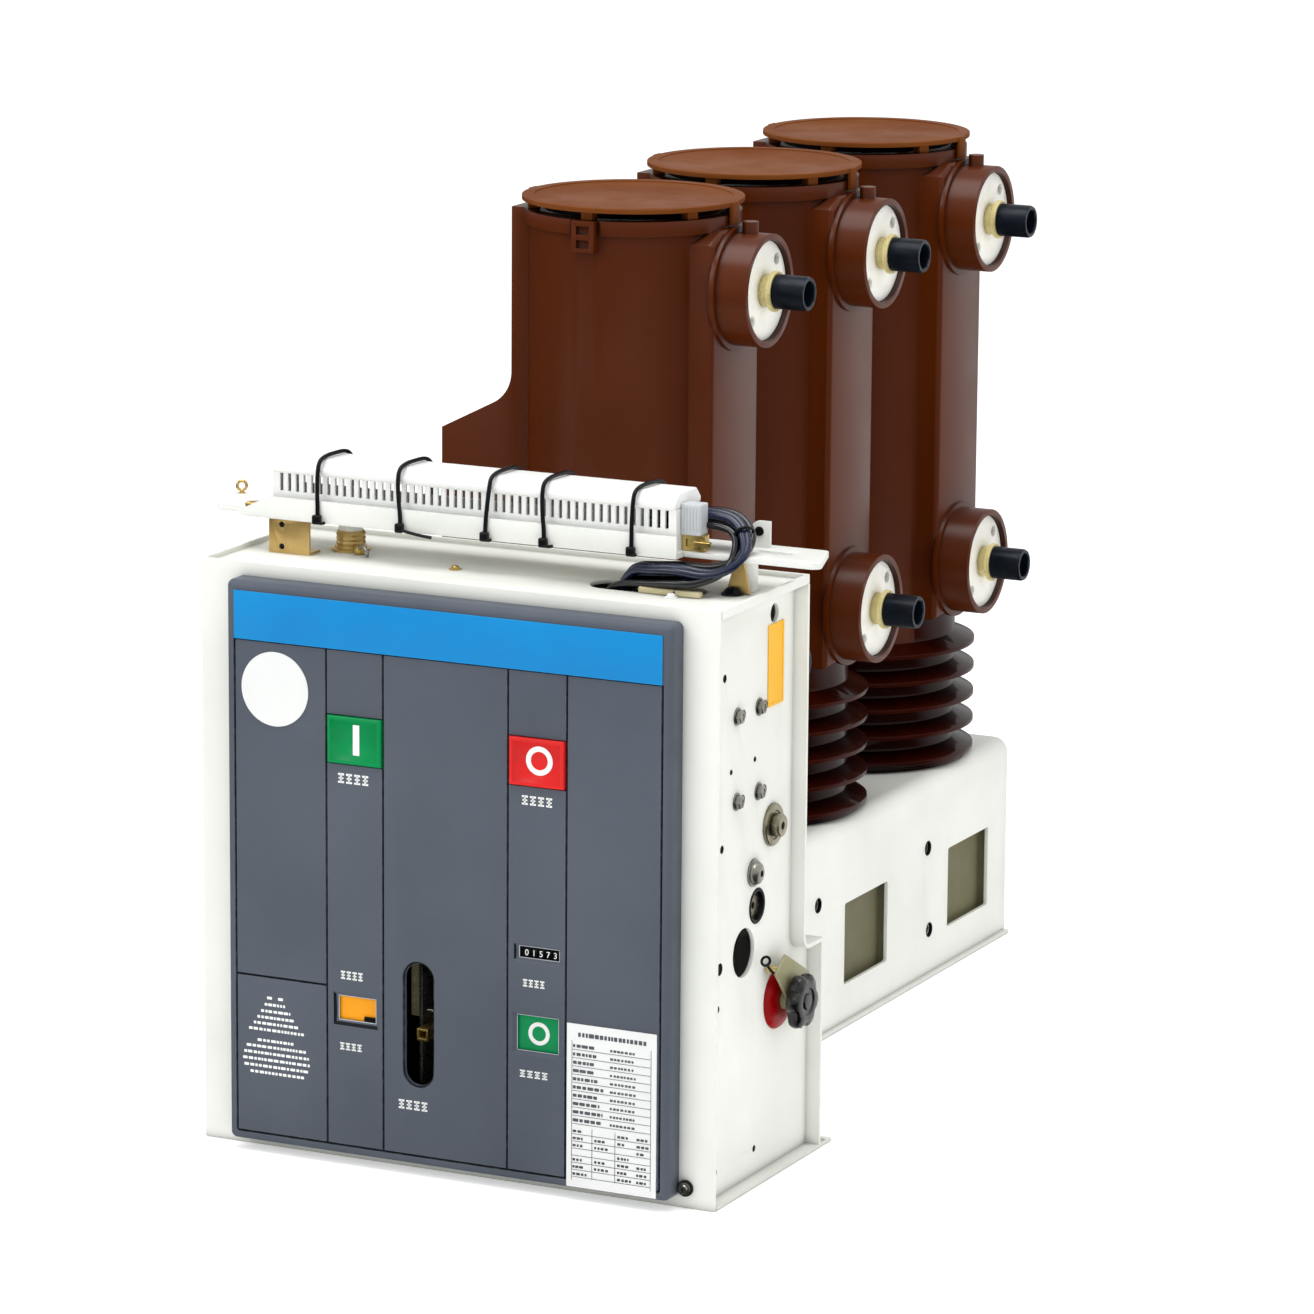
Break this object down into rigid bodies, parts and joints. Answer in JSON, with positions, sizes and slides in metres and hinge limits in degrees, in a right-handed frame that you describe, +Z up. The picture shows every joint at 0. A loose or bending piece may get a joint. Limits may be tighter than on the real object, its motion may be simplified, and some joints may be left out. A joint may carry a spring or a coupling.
{
  "type": "vacuum circuit breaker",
  "caption": "Fixed indoor vacuum circuit breaker: white sheet-steel drive box with grey control panel, and a row of brown moulded poles with side terminals on a base frame.",
  "frame": {"origin": "on the floor, in the middle of the breaker's width and length", "axes": "+X to the terminals, on the right seen from the control panel; +Y from the control panel to the rear of the base frame; +Z up"},
  "size_m": [0.4916, 0.8306, 0.6675],
  "materials": {
    "sheet_white": "satin powder coat",
    "screen_olive": "dull painted sheet",
    "panel_grey": "fine grained moulding",
    "epoxy_brown": "glossy cast epoxy",
    "strip_blue": "printed film",
    "button_green": "satin",
    "button_red": "satin",
    "indicator_orange": "flat",
    "indicator_green": "flat",
    "counter_black": "flat",
    "label_white": "printed film",
    "label_yellow": "printed film",
    "duct_white": "smooth",
    "bar_white": "satin powder coat",
    "black_plastic": "smooth",
    "zinc": "bright zinc plate",
    "zinc_yellow": "yellow passivated zinc plate",
    "grey_plastic": "smooth",
    "red_plastic": "smooth",
    "disc_metal": "cast and machined",
    "stub_dark": "dark plated contact",
    "brass": "plated"
  },
  "bodies": {
    "breaker": {"back_plate": "sheet_white", "base_frame": "sheet_white", "base_screens": "screen_olive", "blank_disc": "label_white", "bottom_plate": "sheet_white", "charge_indicator": "indicator_orange", "charging_bracket": "zinc", "cover_screw": "zinc", "duct_bracket": "zinc_yellow", "duct_cover": "duct_white", "duct_ties": "black_plastic", "front_cover": "panel_grey", "front_frame": "sheet_white", "insulator_1": "epoxy_brown", "insulator_2": "epoxy_brown", "insulator_3": "epoxy_brown", "interlock_disc": "red_plastic", "interlock_knob": "black_plastic", "interlock_plate": "zinc_yellow", "left_side_plate": "sheet_white", "lifting_bar": "bar_white", "loom_wire_1": "black_plastic", "loom_wire_2": "black_plastic", "loom_wire_3": "black_plastic", "name_strip": "strip_blue", "operation_counter": "counter_black", "plug_connector": "grey_plastic", "pole_cap_1": "epoxy_brown", "pole_cap_2": "epoxy_brown", "pole_cap_3": "epoxy_brown", "position_indicator": "indicator_green", "rating_plate": "label_white", "right_side_plate": "sheet_white", "side_bolts": "zinc", "side_label": "label_yellow", "side_shafts": "zinc", "terminal_discs": "disc_metal", "terminal_rings": "brass", "terminal_stubs": "stub_dark", "top_tray": "sheet_white", "wiring_duct": "duct_white"},
    "close_button": {"close_button": "button_green"},
    "open_button": {"open_button": "button_red"},
    "charging_lever": {"charging_lever": "zinc_yellow"}
  },
  "joints": [
    {"name": "close_button_push", "type": "slide", "parent": "breaker", "child": "close_button", "axis": [0, 1, 0], "range_m": [0, 0.004], "stiffness_N_per_m": 2500},
    {"name": "open_button_push", "type": "slide", "parent": "breaker", "child": "open_button", "axis": [0, 1, 0], "range_m": [0, 0.004], "stiffness_N_per_m": 2500},
    {"name": "charging_lever_turn", "type": "hinge", "parent": "breaker", "child": "charging_lever", "pos_m": [-0.0223, -0.36825, 0.103], "axis": [1, 0, 0], "range_deg": [-30, 25]}
  ]
}
